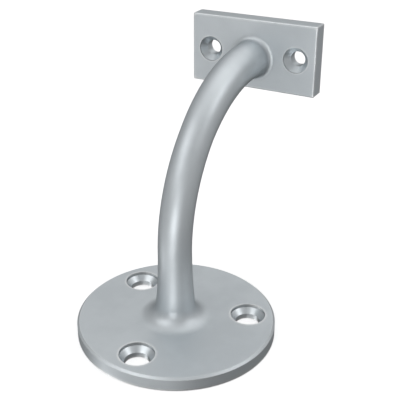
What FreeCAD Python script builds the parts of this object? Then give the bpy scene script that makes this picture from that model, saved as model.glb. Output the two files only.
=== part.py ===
import FreeCAD, Part
import Sketcher
import math
import os

# Handrail bracket: one casting, screwed to a wall through a round flange.
# A round arm leaves the middle of the flange, turns a quarter circle and ends
# in a rectangular plate, which is screwed up into the underside of the rail.
# The arm is slimmest where its bend starts and widens towards both its ends.
#
# Frame: the origin is the middle of the flange's wall face, +Z points out of
# the wall along the foot of the arm, and +Y is the way that the arm turns,
# which is up in use. The rail runs along X, on the plate's flat outer face.
# All sizes are millimetres and degrees.

SIZES = [
    ("flange_diameter", 70.0, "round flange on the wall"),
    ("flange_thickness", 4.8, "flange, wall face to front face"),
    ("rim_chamfer", 0.7, "chamfer round the front of the rim"),
    ("wall_screw_inset", 9.4, "rim to the middle of a wall screw"),
    ("wall_screw_count", 3, "screws in the flange"),
    ("wall_hole", 8.7, "hole for a wall screw's shank"),
    ("wall_head", 12.2, "recess for a wall screw's head, across"),
    ("wall_head_recess", 1.2, "straight wall above the wall screw's countersink"),
    ("arm_diameter", 11.8, "round arm, at its slimmest"),
    ("arm_rise", 26.0, "straight arm from the flange's front face to the bend"),
    ("arm_bend", 52.8, "radius of the bend, at the arm's centre line"),
    ("arm_neck", 5.0, "straight arm from the bend to the plate"),
    ("foot_diameter", 15.0, "arm at the flange, without its hollow"),
    ("foot_fillet", 6.0, "hollow round the arm where it leaves the flange"),
    ("neck_widening", 45.0, "how far round the bend the arm starts to widen"),
    ("neck_diameter", 13.8, "arm at the plate, without its hollow"),
    ("neck_fillet", 1.6, "hollow round the arm where it meets the plate"),
    ("plate_width", 49.5, "plate, along the rail"),
    ("plate_depth", 26.0, "plate, across the rail"),
    ("plate_thickness", 6.2, "plate, arm face to rail face"),
    ("plate_edge", 0.5, "rounding of the plate's edges, except at the rail face"),
    ("plate_raise", 1.4, "middle of the plate further from the wall than the arm"),
    ("rail_screw_spacing", 34.1, "between the two rail screws"),
    ("rail_hole", 5.5, "hole for a rail screw's shank"),
    ("rail_head", 9.5, "recess for a rail screw's head, across"),
    ("rail_head_recess", 0.6, "straight wall above the rail screw's countersink"),
    ("countersink_angle", 90.0, "included angle of every countersink"),
]

# Where the bend starts, where the plate's middle is from the wall, and the plate's arm face
BEND_START = "Sizes.flange_thickness + Sizes.arm_rise"
PROJECTION = f"{BEND_START} + Sizes.arm_bend + Sizes.plate_raise"
PLATE_FRONT = "Sizes.arm_bend + Sizes.arm_neck"

# FreeCAD's numbers for a sketch's axes and origin, and for the points of a line or arc
HORIZONTAL_AXIS, VERTICAL_AXIS = range(-1, -3, -1)
START, END, CENTRE = range(1, 4)
ORIGIN_POINT = (HORIZONTAL_AXIS, START)

FULL_TURN = 360
TOLERANCE = 1e-4
SAMPLES = 9

doc = FreeCAD.newDocument("handrail_bracket")

sheet = doc.addObject("Spreadsheet::Sheet", "Sizes")
for row, (alias, value, meaning) in enumerate(SIZES, 1):
    sheet.set(f"A{row}", alias)
    sheet.set(f"B{row}", str(value))
    sheet.setAlias(f"B{row}", alias)
    sheet.set(f"C{row}", meaning)
doc.recompute()

body = doc.addObject("PartDesign::Body", "Bracket")
body.Label = "bracket"


def origin_feature(role):
    """The body's own origin plane or axis with this role."""
    return next(f for f in body.Origin.OriginFeatures if f.Role == role)


def sketch_on(plane, name, up=None, along=None):
    """A sketch on an origin plane, moved along its normal and its own Y axis."""
    sketch = body.newObject("Sketcher::SketchObject", name)
    sketch.AttachmentSupport = [(origin_feature(plane), "")]
    sketch.MapMode = "FlatFace"
    if along:
        sketch.setExpression("AttachmentOffset.Base.z", along)
    if up:
        sketch.setExpression("AttachmentOffset.Base.y", up)
    return sketch


def constrain(sketch, kind, *arguments):
    """Adds one constraint and gives its number in the sketch."""
    return sketch.addConstraint(Sketcher.Constraint(kind, *arguments))


def drive(sketch, name, expression, kind, *arguments):
    """Adds one size to a sketch and ties it to the cells in the expression."""
    index = constrain(sketch, kind, *arguments)
    sketch.renameConstraint(index, name)
    sketch.setExpression(f"Constraints.{name}", expression)


def add_circle(sketch, x, y, radius):
    centre = FreeCAD.Vector(x, y, 0)
    axis = FreeCAD.Vector(0, 0, 1)
    return sketch.addGeometry(Part.Circle(centre, axis, radius), False)


def add_line(sketch, x0, y0, x1, y1):
    start, end = FreeCAD.Vector(x0, y0, 0), FreeCAD.Vector(x1, y1, 0)
    return sketch.addGeometry(Part.LineSegment(start, end), False)


def centred_circle(sketch, name, expression):
    """A circle on the sketch's origin, with its diameter from the sheet."""
    drawn_radius = 1
    circle = add_circle(sketch, 0, 0, drawn_radius)
    constrain(sketch, "Coincident", circle, CENTRE, *ORIGIN_POINT)
    drive(sketch, name, expression, "Diameter", circle, 2 * drawn_radius)


def circle_edges(feature, centre, radius):
    """Names of a feature's edges that run round the centre at this radius."""
    return [
        f"Edge{number}"
        for number, edge in enumerate(feature.Shape.Edges, 1)
        if all(
            math.isclose(point.distanceToPoint(centre), radius, abs_tol=TOLERANCE)
            for point in edge.discretize(SAMPLES)
        )
    ]


def edge_between(feature, start, end):
    """Name of the feature's edge that joins two points."""
    for number, edge in enumerate(feature.Shape.Edges, 1):
        first, last = edge.Vertexes[0].Point, edge.Vertexes[-1].Point
        for one, other in ((first, last), (last, first)):
            if one.isEqual(start, TOLERANCE) and other.isEqual(end, TOLERANCE):
                return f"Edge{number}"
    raise RuntimeError(f"{feature.Name} has no edge between {start} and {end}")


def dress(kind, name, base, edges, size_property, expression):
    """A fillet or chamfer on the named edges of the last feature."""
    feature = body.newObject(f"PartDesign::{kind}", name)
    feature.Base = (base, edges)
    feature.setExpression(size_property, expression)
    doc.recompute()
    return feature


def countersunk_holes(name, sketch, hole, head, recess):
    """A straight recess, a countersink and a through hole at each circle."""
    feature = body.newObject("PartDesign::Hole", name)
    feature.Profile = sketch
    doc.recompute()
    feature.DepthType = "ThroughAll"
    feature.HoleCutType = "Counterdrill"
    feature.HoleCutCustomValues = True
    feature.setExpression("Diameter", hole)
    feature.setExpression("HoleCutDiameter", head)
    feature.setExpression("HoleCutDepth", recess)
    feature.setExpression("HoleCutCountersinkAngle", "Sizes.countersink_angle")
    doc.recompute()
    return feature


# Flange: a disc on the wall
flange_outline = sketch_on("XY_Plane", "FlangeOutline")
centred_circle(flange_outline, "diameter", "Sizes.flange_diameter")

flange = body.newObject("PartDesign::Pad", "Flange")
flange.Profile = flange_outline
flange.setExpression("Length", "Sizes.flange_thickness")
doc.recompute()

# Foot: the straight part of the arm. An arc that is tangent to the arm at the
# bend widens it down to the flange
arm_radius, foot_radius = sheet.arm_diameter / 2, sheet.foot_diameter / 2
bend_start = sheet.flange_thickness + sheet.arm_rise

foot_profile = sketch_on("YZ_Plane", "FootProfile")
axis = add_line(foot_profile, 0, bend_start, 0, sheet.flange_thickness)
base = add_line(foot_profile, 0, sheet.flange_thickness, foot_radius, sheet.flange_thickness)
widening = foot_radius - arm_radius
sweep_radius = (sheet.arm_rise**2 + widening**2) / (2 * widening)
sweep_circle = Part.Circle(
    FreeCAD.Vector(arm_radius + sweep_radius, bend_start, 0),
    FreeCAD.Vector(0, 0, 1), sweep_radius,
)
sweep_end = math.pi + math.asin(sheet.arm_rise / sweep_radius)
side = foot_profile.addGeometry(Part.ArcOfCircle(sweep_circle, math.pi, sweep_end), False)
top = add_line(foot_profile, arm_radius, bend_start, 0, bend_start)
constrain(foot_profile, "Coincident", axis, END, base, START)
constrain(foot_profile, "Coincident", base, END, side, END)
constrain(foot_profile, "Coincident", side, START, top, START)
constrain(foot_profile, "Coincident", top, END, axis, START)
constrain(foot_profile, "PointOnObject", axis, START, VERTICAL_AXIS)
constrain(foot_profile, "Vertical", axis)
constrain(foot_profile, "Horizontal", base)
constrain(foot_profile, "Horizontal", top)
constrain(foot_profile, "PointOnObject", side, CENTRE, top)
drive(
    foot_profile, "base_height", "Sizes.flange_thickness",
    "DistanceY", *ORIGIN_POINT, base, START, sheet.flange_thickness,
)
drive(
    foot_profile, "rise", "Sizes.arm_rise",
    "DistanceY", axis, END, axis, START, sheet.arm_rise,
)
drive(
    foot_profile, "foot", "Sizes.foot_diameter / 2",
    "DistanceX", base, START, base, END, foot_radius,
)
drive(
    foot_profile, "arm", "Sizes.arm_diameter / 2",
    "DistanceX", top, END, top, START, arm_radius,
)

foot_turn = body.newObject("PartDesign::Revolution", "Foot")
foot_turn.Profile = foot_profile
foot_turn.ReferenceAxis = (origin_feature("Z_Axis"), [""])
foot_turn.Angle = FULL_TURN
doc.recompute()

# Arm path: the bend, in two arcs that meet where the arm starts to widen, and
# the short straight neck that runs into the plate
bend_radius = sheet.arm_bend
plate_front = bend_radius + sheet.arm_neck
arm_height = bend_start + bend_radius
projection = arm_height + sheet.plate_raise
widen_at = math.pi - math.radians(sheet.neck_widening)

arm_path = sketch_on("YZ_Plane", "ArmPath", up=BEND_START)
bend_circle = Part.Circle(
    FreeCAD.Vector(bend_radius, 0, 0), FreeCAD.Vector(0, 0, 1), bend_radius
)
bend = arm_path.addGeometry(Part.ArcOfCircle(bend_circle, widen_at, math.pi), False)
last_bend = arm_path.addGeometry(Part.ArcOfCircle(bend_circle, math.pi / 2, widen_at), False)
neck = add_line(arm_path, bend_radius, bend_radius, plate_front, bend_radius)
constrain(arm_path, "Coincident", bend, END, *ORIGIN_POINT)
constrain(arm_path, "PointOnObject", bend, CENTRE, HORIZONTAL_AXIS)
constrain(arm_path, "Coincident", bend, START, last_bend, END)
constrain(arm_path, "Coincident", bend, CENTRE, last_bend, CENTRE)
constrain(arm_path, "Tangent", last_bend, START, neck, START)
constrain(arm_path, "Horizontal", neck)
drive(arm_path, "bend", "Sizes.arm_bend", "Radius", bend, bend_radius)
drive(
    arm_path, "widening", "Sizes.arm_bend * sin(Sizes.neck_widening * 1 deg)",
    "DistanceY", *ORIGIN_POINT, bend, START, bend_radius * math.sin(widen_at),
)
drive(
    arm_path, "neck", "Sizes.arm_neck",
    "DistanceX", neck, START, neck, END, sheet.arm_neck,
)

bend_foot = FreeCAD.Vector(0, 0, bend_start)
bend_widens = FreeCAD.Vector(
    0, bend_radius * (1 + math.cos(widen_at)), bend_start + bend_radius * math.sin(widen_at)
)
bend_end = FreeCAD.Vector(0, bend_radius, arm_height)
neck_end = FreeCAD.Vector(0, plate_front, arm_height)

# Arm: the first arc of the bend, of one width
arm_section = sketch_on("XY_Plane", "ArmSection", along=BEND_START)
centred_circle(arm_section, "diameter", "Sizes.arm_diameter")
doc.recompute()

arm = body.newObject("PartDesign::AdditivePipe", "Arm")
arm.Profile = arm_section
arm.Spine = (arm_path, [edge_between(arm_path, bend_foot, bend_widens)])
doc.recompute()

# Neck: the rest of the path, blended from a section across the bend, which
# leans with it, to a wider one in the plate's arm face
tilt = "Sizes.neck_widening * 1 deg"
widening_section = sketch_on("XY_Plane", "WideningSection")
widening_section.AttachmentOffset = FreeCAD.Placement(
    FreeCAD.Vector(), FreeCAD.Rotation(FreeCAD.Vector(-1, 0, 0), sheet.neck_widening)
)
widening_section.setExpression("AttachmentOffset.Rotation.Angle", tilt)
widening_section.setExpression(
    "AttachmentOffset.Base.y", f"Sizes.arm_bend * (1 - cos({tilt}))"
)
widening_section.setExpression(
    "AttachmentOffset.Base.z", f"{BEND_START} + Sizes.arm_bend * sin({tilt})"
)
centred_circle(widening_section, "diameter", "Sizes.arm_diameter")

neck_section = sketch_on(
    "XZ_Plane", "NeckSection", up=f"{BEND_START} + Sizes.arm_bend", along=f"-({PLATE_FRONT})"
)
centred_circle(neck_section, "diameter", "Sizes.neck_diameter")

neck_sweep = body.newObject("PartDesign::AdditivePipe", "Neck")
neck_sweep.Profile = widening_section
neck_sweep.Sections = [neck_section]
neck_sweep.Spine = (
    arm_path,
    [edge_between(arm_path, bend_widens, bend_end), edge_between(arm_path, bend_end, neck_end)],
)
neck_sweep.Transformation = "Multisection"
doc.recompute()

# Plate: a rectangle drawn on the rail face, thickened back towards the arm
plate_outline = sketch_on(
    "XZ_Plane", "PlateOutline",
    up=PROJECTION, along=f"-({PLATE_FRONT} + Sizes.plate_thickness)",
)
half_width, half_depth = sheet.plate_width / 2, sheet.plate_depth / 2
bottom = add_line(plate_outline, -half_width, -half_depth, half_width, -half_depth)
right = add_line(plate_outline, half_width, -half_depth, half_width, half_depth)
top = add_line(plate_outline, half_width, half_depth, -half_width, half_depth)
left = add_line(plate_outline, -half_width, half_depth, -half_width, -half_depth)
for side, following in ((bottom, right), (right, top), (top, left), (left, bottom)):
    constrain(plate_outline, "Coincident", side, END, following, START)
constrain(plate_outline, "Horizontal", bottom)
constrain(plate_outline, "Horizontal", top)
constrain(plate_outline, "Vertical", left)
constrain(plate_outline, "Vertical", right)
constrain(plate_outline, "Symmetric", bottom, START, top, START, *ORIGIN_POINT)
drive(
    plate_outline, "width", "Sizes.plate_width",
    "DistanceX", bottom, START, bottom, END, sheet.plate_width,
)
drive(
    plate_outline, "depth", "Sizes.plate_depth",
    "DistanceY", right, START, right, END, sheet.plate_depth,
)

plate = body.newObject("PartDesign::Pad", "Plate")
plate.Profile = plate_outline
plate.setExpression("Length", "Sizes.plate_thickness")
doc.recompute()

# Hollows where the arm leaves the flange and where it meets the plate
foot = FreeCAD.Vector(0, 0, sheet.flange_thickness)
foot_hollow = dress(
    "Fillet", "FootHollow", plate,
    circle_edges(plate, foot, foot_radius), "Radius", "Sizes.foot_fillet",
)
neck_hollow = dress(
    "Fillet", "NeckHollow", foot_hollow,
    circle_edges(foot_hollow, neck_end, sheet.neck_diameter / 2), "Radius", "Sizes.neck_fillet",
)

# Rim: chamfered on the side away from the wall
rim = dress(
    "Chamfer", "RimChamfer", neck_hollow,
    circle_edges(neck_hollow, foot, sheet.flange_diameter / 2), "Size", "Sizes.rim_chamfer",
)


# Plate edges: rounded round the arm face and at the four corners, so that the
# rail face alone stays square and seats flat
def rounded_plate_edges(feature):
    rail_face = plate_front + sheet.plate_thickness
    names = []
    for number, edge in enumerate(feature.Shape.Edges, 1):
        ends = [vertex.Point for vertex in edge.Vertexes]
        is_corner = all(
            math.isclose(abs(end.x), half_width, abs_tol=TOLERANCE)
            and math.isclose(abs(end.z - projection), half_depth, abs_tol=TOLERANCE)
            for end in ends
        )
        is_on_rail = all(math.isclose(end.y, rail_face, abs_tol=TOLERANCE) for end in ends)
        if is_corner and not is_on_rail:
            names.append(f"Edge{number}")
    return names


plate_rounds = dress(
    "Fillet", "PlateRounds", rim, rounded_plate_edges(rim), "Radius", "Sizes.plate_edge"
)

# Rail screws: one each side of the arm, sunk into the plate's arm face
rail_centres = sketch_on(
    "XZ_Plane", "RailScrewCentres", up=PROJECTION, along=f"-({PLATE_FRONT})"
)
half_spacing = sheet.rail_screw_spacing / 2
first = add_circle(rail_centres, -half_spacing, 0, sheet.rail_hole / 2)
second = add_circle(rail_centres, half_spacing, 0, sheet.rail_hole / 2)
constrain(rail_centres, "PointOnObject", first, CENTRE, HORIZONTAL_AXIS)
constrain(rail_centres, "Symmetric", first, CENTRE, second, CENTRE, *ORIGIN_POINT)
constrain(rail_centres, "Equal", first, second)
drive(
    rail_centres, "spacing", "Sizes.rail_screw_spacing",
    "DistanceX", first, CENTRE, second, CENTRE, sheet.rail_screw_spacing,
)
drive(rail_centres, "diameter", "Sizes.rail_hole", "Diameter", first, sheet.rail_hole)
rail_screws = countersunk_holes(
    "RailScrewHoles", rail_centres,
    "Sizes.rail_hole", "Sizes.rail_head", "Sizes.rail_head_recess",
)

# Wall screws: one below the arm in use, the others spaced evenly round the flange
wall_centre = sketch_on("XY_Plane", "WallScrewCentre", along="Sizes.flange_thickness")
screw_radius = sheet.flange_diameter / 2 - sheet.wall_screw_inset
screw = add_circle(wall_centre, 0, -screw_radius, sheet.wall_hole / 2)
constrain(wall_centre, "PointOnObject", screw, CENTRE, VERTICAL_AXIS)
drive(
    wall_centre, "radius", "Sizes.flange_diameter / 2 - Sizes.wall_screw_inset",
    "DistanceY", screw, CENTRE, *ORIGIN_POINT, screw_radius,
)
drive(wall_centre, "diameter", "Sizes.wall_hole", "Diameter", screw, sheet.wall_hole)
wall_screw = countersunk_holes(
    "WallScrewHole", wall_centre,
    "Sizes.wall_hole", "Sizes.wall_head", "Sizes.wall_head_recess",
)

wall_screws = body.newObject("PartDesign::PolarPattern", "WallScrewHoles")
wall_screws.Originals = [wall_screw]
wall_screws.Axis = (origin_feature("Z_Axis"), [""])
wall_screws.Angle = FULL_TURN
wall_screws.setExpression("Occurrences", "Sizes.wall_screw_count")
body.Tip = wall_screws
doc.recompute()

# Every feature must have worked, and every hole must have cut
failed = [o.Name for o in doc.Objects if {"Invalid", "Error"} & set(o.State)]
if failed:
    raise RuntimeError(f"features failed: {failed}")
if not rail_screws.Shape.Volume < plate_rounds.Shape.Volume:
    raise RuntimeError("the rail screw holes cut nothing")
one_hole = rail_screws.Shape.Volume - wall_screw.Shape.Volume
all_holes = rail_screws.Shape.Volume - wall_screws.Shape.Volume
if not (one_hole > 0 and math.isclose(all_holes, one_hole * sheet.wall_screw_count, rel_tol=1e-4)):
    raise RuntimeError("the wall screw holes are not all there")
if body.Shape.isNull() or not body.Shape.isValid() or len(body.Shape.Solids) != 1:
    raise RuntimeError("the bracket is not one valid solid")

os.makedirs("parts", exist_ok=True)
body.Shape.exportStep(f"parts/{body.Label}.step")
box = body.Shape.optimalBoundingBox()
print(f"bracket: {body.Shape.Volume:.1f} mm3")
print(f"box: {box.XLength:.2f} x {box.YLength:.2f} x {box.ZLength:.2f} mm")
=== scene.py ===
"""Looks of the handrail bracket: satin metal, a pale floor, a soft studio and the camera.

Lengths are in metres and angles in degrees.
"""

import math

import bpy
from mathutils import Matrix, Vector

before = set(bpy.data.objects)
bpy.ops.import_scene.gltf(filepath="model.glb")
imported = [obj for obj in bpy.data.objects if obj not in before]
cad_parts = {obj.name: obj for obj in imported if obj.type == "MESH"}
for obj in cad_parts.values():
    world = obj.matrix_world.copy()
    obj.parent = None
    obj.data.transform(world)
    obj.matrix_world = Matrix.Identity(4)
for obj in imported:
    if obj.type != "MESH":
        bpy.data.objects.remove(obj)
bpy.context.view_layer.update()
scene = bpy.context.scene
scene.view_settings.view_transform = "Standard"


def direction(azimuth, elevation):
    """Unit vector towards a place at these angles; azimuth 0 is -Y and 90 is +X."""
    a, e = math.radians(azimuth), math.radians(elevation)
    return Vector((math.sin(a) * math.cos(e), -math.cos(a) * math.cos(e), math.sin(e)))


# Camera: in front of the bracket, to its right and above it. The point that it aims
# at is given from the origin, along the picture's right and up. The focal length is
# in millimetres, and the shift is a share of the picture's width
CAMERA_AZIMUTH = 31.78
CAMERA_ELEVATION = 25.29
CAMERA_ROLL = -1.27
CAMERA_DISTANCE = 0.2822
AIM_RIGHT = -0.0057
AIM_UP = 0.0529
FOCAL_LENGTH = 70.8
LENS_SHIFT = (0.1, -0.055)
NEAREST_SHOWN = 0.01


def add_camera():
    back = direction(CAMERA_AZIMUTH, CAMERA_ELEVATION)
    level = Vector((-back.y, back.x, 0)).normalized()
    roll = math.radians(CAMERA_ROLL)
    right = math.cos(roll) * level + math.sin(roll) * back.cross(level)
    up = back.cross(right)

    lens = bpy.data.cameras.new("camera")
    lens.lens = FOCAL_LENGTH
    lens.shift_x, lens.shift_y = LENS_SHIFT
    lens.clip_start = NEAREST_SHOWN
    camera = bpy.data.objects.new("camera", lens)
    scene.collection.objects.link(camera)
    turn = Matrix((right, up, back)).transposed().to_4x4()
    place = AIM_RIGHT * right + AIM_UP * up + CAMERA_DISTANCE * back
    camera.matrix_world = Matrix.Translation(place) @ turn
    scene.camera = camera


def empty_tree(owner):
    """Node tree of a material or world, with its nodes cleared away."""
    owner.use_nodes = True
    owner.node_tree.nodes.clear()
    return owner.node_tree


def add_node(tree, kind, inputs=None, **settings):
    """Adds a node. Each input is given as a plain value or as another node's output."""
    node = tree.nodes.new("ShaderNode" + kind)
    for name, value in settings.items():
        setattr(node, name, value)
    for key, value in (inputs or {}).items():
        if isinstance(value, bpy.types.NodeSocket):
            tree.links.new(value, node.inputs[key])
        else:
            node.inputs[key].default_value = value
    return node


def combine(tree, operation, first, second):
    """Result of an operation such as ADD or MAXIMUM on two numbers or outputs."""
    return add_node(tree, "Math", {0: first, 1: second}, operation=operation).outputs["Value"]


def combine_vectors(tree, operation, first, second):
    """Node for an operation such as DISTANCE on two vectors or outputs."""
    return add_node(tree, "VectorMath", {0: first, 1: second}, operation=operation)


def ramp(tree, value, start, end, low, high):
    """Goes smoothly from low to high while the value goes from start to end."""
    inputs = {
        "Value": value, "From Min": start, "From Max": end, "To Min": low, "To Max": high,
    }
    return add_node(tree, "MapRange", inputs, interpolation_type="SMOOTHSTEP").outputs["Result"]


def seen_by_camera(tree):
    """1 for what the camera sees itself and 0 for light and reflections."""
    return add_node(tree, "LightPath").outputs["Is Camera Ray"]


# World: an even pale studio over dark ground, with large soft lights in it. The
# ground fades into the sky between two heights on a globe of radius 1
SKY = 0.43
GROUND = 0.0
GROUND_EDGE = (-0.8, -0.3)
SOFT_LIGHTS = [
    # azimuth, elevation, half width, strength in the middle
    (16, -8, 19, 3.8),
    (-14, -27, 16, 0.8),
    (-12, 42, 18, 2.1),
    (168, 65, 52, 0.7),
    (104, 42, 14, 2.2),
    (-45, 43, 17, 1.6),
    (-54, -39, 19, 1.6),
]
WHITE = (1, 1, 1, 1)


def add_world():
    world = bpy.data.worlds.new("studio")
    scene.world = world
    tree = empty_tree(world)
    towards = add_node(tree, "TexCoord").outputs["Generated"]

    height = add_node(tree, "SeparateXYZ", {"Vector": towards}).outputs["Z"]
    strength = ramp(tree, height, *GROUND_EDGE, GROUND, SKY)
    for azimuth, elevation, half_width, brightest in SOFT_LIGHTS:
        middle = direction(azimuth, elevation)
        nearness = combine_vectors(tree, "DOT_PRODUCT", towards, middle).outputs["Value"]
        edge = math.cos(math.radians(half_width))
        light = ramp(tree, nearness, edge, 1, 0, brightest)
        strength = combine(tree, "ADD", strength, light)

    # Past the floor's far edge, the camera sees plain white
    shown = add_node(tree, "Mix", {"Factor": seen_by_camera(tree), "A": strength, "B": 1})
    background = add_node(
        tree, "Background", {"Color": WHITE, "Strength": shown.outputs["Result"]}
    )
    add_node(tree, "OutputWorld", {"Surface": background.outputs["Background"]})


# Floor: matt and white to the camera, with the object's soft shadow on it. The
# metal doesn't reflect it, because faces that look down are dark in the photograph
FLOOR_HALF_SIDE = 20
FLOOR_DROP = 0.0001
FLOOR_COLOUR = (0.7, 0.7, 0.7, 1)
FLOOR_WHITE = 0.55


def add_floor():
    side = FLOOR_HALF_SIDE
    corners = [
        (x, y, -FLOOR_DROP)
        for x, y in ((-side, -side), (side, -side), (side, side), (-side, side))
    ]
    mesh = bpy.data.meshes.new("floor")
    mesh.from_pydata(corners, [], [(0, 1, 2, 3)])
    floor = bpy.data.objects.new("floor", mesh)
    scene.collection.objects.link(floor)
    floor.visible_glossy = False
    floor.visible_shadow = False

    material = bpy.data.materials.new("floor_paint")
    mesh.materials.append(material)
    tree = empty_tree(material)
    paint = add_node(tree, "BsdfDiffuse", {"Color": FLOOR_COLOUR})
    strength = combine(tree, "MULTIPLY", seen_by_camera(tree), FLOOR_WHITE)
    glow = add_node(tree, "Emission", {"Strength": strength})
    both = add_node(tree, "AddShader", {0: paint.outputs["BSDF"], 1: glow.outputs["Emission"]})
    add_node(tree, "OutputMaterial", {"Surface": both.outputs["Shader"]})


# Metal: aluminium with a fine satin grain and faint clouds. Its outer edges are rubbed smoother
# and lighter, partly as a painted highlight; its hollows are rougher and darkened with painted
# shade; and the screw holes are machined smooth
METAL_COLOUR = (0.69, 0.734, 0.761, 1)
CLOUD_COLOUR = (0.66, 0.703, 0.73, 1)
# Rubbed outer edges: partly the real lighter metal of rubbing, partly a painted highlight
WORN_AND_HIGHLIGHT_COLOUR = (0.92, 0.94, 0.95, 1)
# Painted shade: the colour of the hollows is darkened where shade falls in them
PAINTED_HOLLOW_SHADE = (0.4, 0.42, 0.43, 1)
GRAZING_TINT = (0.35, 0.35, 0.35, 1)
METAL_ROUGHNESS = (0.47, 0.52)
HOLLOW_ROUGHNESS = 1
SMOOTH_ROUGHNESS = 0.37

# Patterns: how wide their patches are, and between which of their values they act
CLOUD_WIDTH = 0.011
CLOUD_COLOUR_RANGE = (0.35, 0.65)
CLOUD_ROUGHNESS_RANGE = (0.3, 0.7)
SCUFF_WIDTH = 0.0025
SCUFF_RANGE = (0.3, 0.6)
LEAST_WEAR_AND_HIGHLIGHT = 0.6
GRAIN_WIDTH = 0.00025
GRAIN_HEIGHT = 0.000004

# Edges and hollows: how far round a point is looked, and how open its view is where
# the edges' rubbing and painted highlight, and the hollows' painted shade and roughness, start
# and where they are full
OPEN_FACE = 0.9
WEAR_AND_HIGHLIGHT_DEPTH = 0.0015
FULL_WEAR_AND_HIGHLIGHT = 0.55
HOLLOW_DEPTH = 0.004
DEEP_HOLLOW = 0.3
VIEW_SAMPLES = 8

# Screw holes: 1 for each axis across a set of holes and 0 for the one along them, a
# radius just past the recess, and the holes' centres
HOLES = [
    ((1, 1, 0), 0.0062, [(0, -0.0256, 0), (0.02217, 0.0128, 0), (-0.02217, 0.0128, 0)]),
    ((1, 0, 1), 0.0049, [(0.01705, 0, 0.085), (-0.01705, 0, 0.085)]),
]


def satin_metal():
    material = bpy.data.materials.new("bracket_metal")
    tree = empty_tree(material)
    clouds = noise(tree, CLOUD_WIDTH, detail=3)
    # Painted shade in the hollows, which are also made rougher
    hollow_shade_and_roughness = crowding(tree, HOLLOW_DEPTH, DEEP_HOLLOW, inside=False)
    # Rubbed outer edges, made smoother and lighter; the lightening is partly a painted
    # highlight
    wear_and_highlight = edge_wear_and_highlight(tree)

    colour = METAL_COLOUR
    # Clouds vary the tone at random, painted shade darkens the hollows, and the outer edges are
    # lightened, partly by real rubbing and partly as a painted highlight
    for amount, other in (
        (ramp(tree, clouds, *CLOUD_COLOUR_RANGE, 0, 1), CLOUD_COLOUR),
        (hollow_shade_and_roughness, PAINTED_HOLLOW_SHADE),
        (wear_and_highlight, WORN_AND_HIGHLIGHT_COLOUR),
    ):
        mix = add_node(tree, "MixRGB", {"Fac": amount, "Color1": colour, "Color2": other})
        colour = mix.outputs["Color"]

    smooth = combine(tree, "MAXIMUM", wear_and_highlight, in_a_hole(tree))
    roughness = ramp(tree, clouds, *CLOUD_ROUGHNESS_RANGE, *METAL_ROUGHNESS)
    for amount, other in ((hollow_shade_and_roughness, HOLLOW_ROUGHNESS), (smooth, SMOOTH_ROUGHNESS)):
        mix = add_node(tree, "Mix", {"Factor": amount, "A": roughness, "B": other})
        roughness = mix.outputs["Result"]

    height = noise(tree, GRAIN_WIDTH, detail=1)
    grain = add_node(tree, "Bump", {"Distance": GRAIN_HEIGHT, "Height": height})
    metal = add_node(tree, "BsdfPrincipled", {
        "Base Color": colour,
        "Metallic": 1,
        "Roughness": roughness,
        "Specular Tint": GRAZING_TINT,
        "Normal": grain.outputs["Normal"],
    })
    add_node(tree, "OutputMaterial", {"Surface": metal.outputs["BSDF"]})
    return material


def noise(tree, width, detail):
    """A soft random pattern, with patches about this wide."""
    place = add_node(tree, "TexCoord").outputs["Object"]
    inputs = {"Vector": place, "Scale": 1 / width, "Detail": detail}
    return add_node(tree, "TexNoise", inputs).outputs["Fac"]


def edge_wear_and_highlight(tree):
    """1 along the outer edges and 0 elsewhere, broken up as handling leaves it. It makes them
    smoother and lighter, the lightening partly a painted highlight.
    """
    edges = crowding(tree, WEAR_AND_HIGHLIGHT_DEPTH, FULL_WEAR_AND_HIGHLIGHT, inside=True)
    scuffs = noise(tree, SCUFF_WIDTH, detail=2)
    return combine(tree, "MULTIPLY", edges, ramp(tree, scuffs, *SCUFF_RANGE, LEAST_WEAR_AND_HIGHLIGHT, 1))


def crowding(tree, depth, full, inside):
    """0 on open faces and 1 in hollows or, seen from inside the metal, on outer edges."""
    view = add_node(
        tree, "AmbientOcclusion", {"Distance": depth},
        samples=VIEW_SAMPLES, only_local=True, inside=inside,
    )
    return ramp(tree, view.outputs["AO"], OPEN_FACE, full, 0, 1)


def in_a_hole(tree):
    """1 inside the screw holes and 0 elsewhere."""
    place = add_node(tree, "TexCoord").outputs["Object"]
    inside = 0
    for across, radius, centres in HOLES:
        flat = combine_vectors(tree, "MULTIPLY", place, across).outputs["Vector"]
        for centre in centres:
            away = combine_vectors(tree, "DISTANCE", flat, centre).outputs["Value"]
            near = combine(tree, "LESS_THAN", away, radius)
            inside = combine(tree, "MAXIMUM", inside, near)
    return inside


add_camera()
add_world()
add_floor()
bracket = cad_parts["bracket"]
bracket.data.materials.clear()
bracket.data.materials.append(satin_metal())
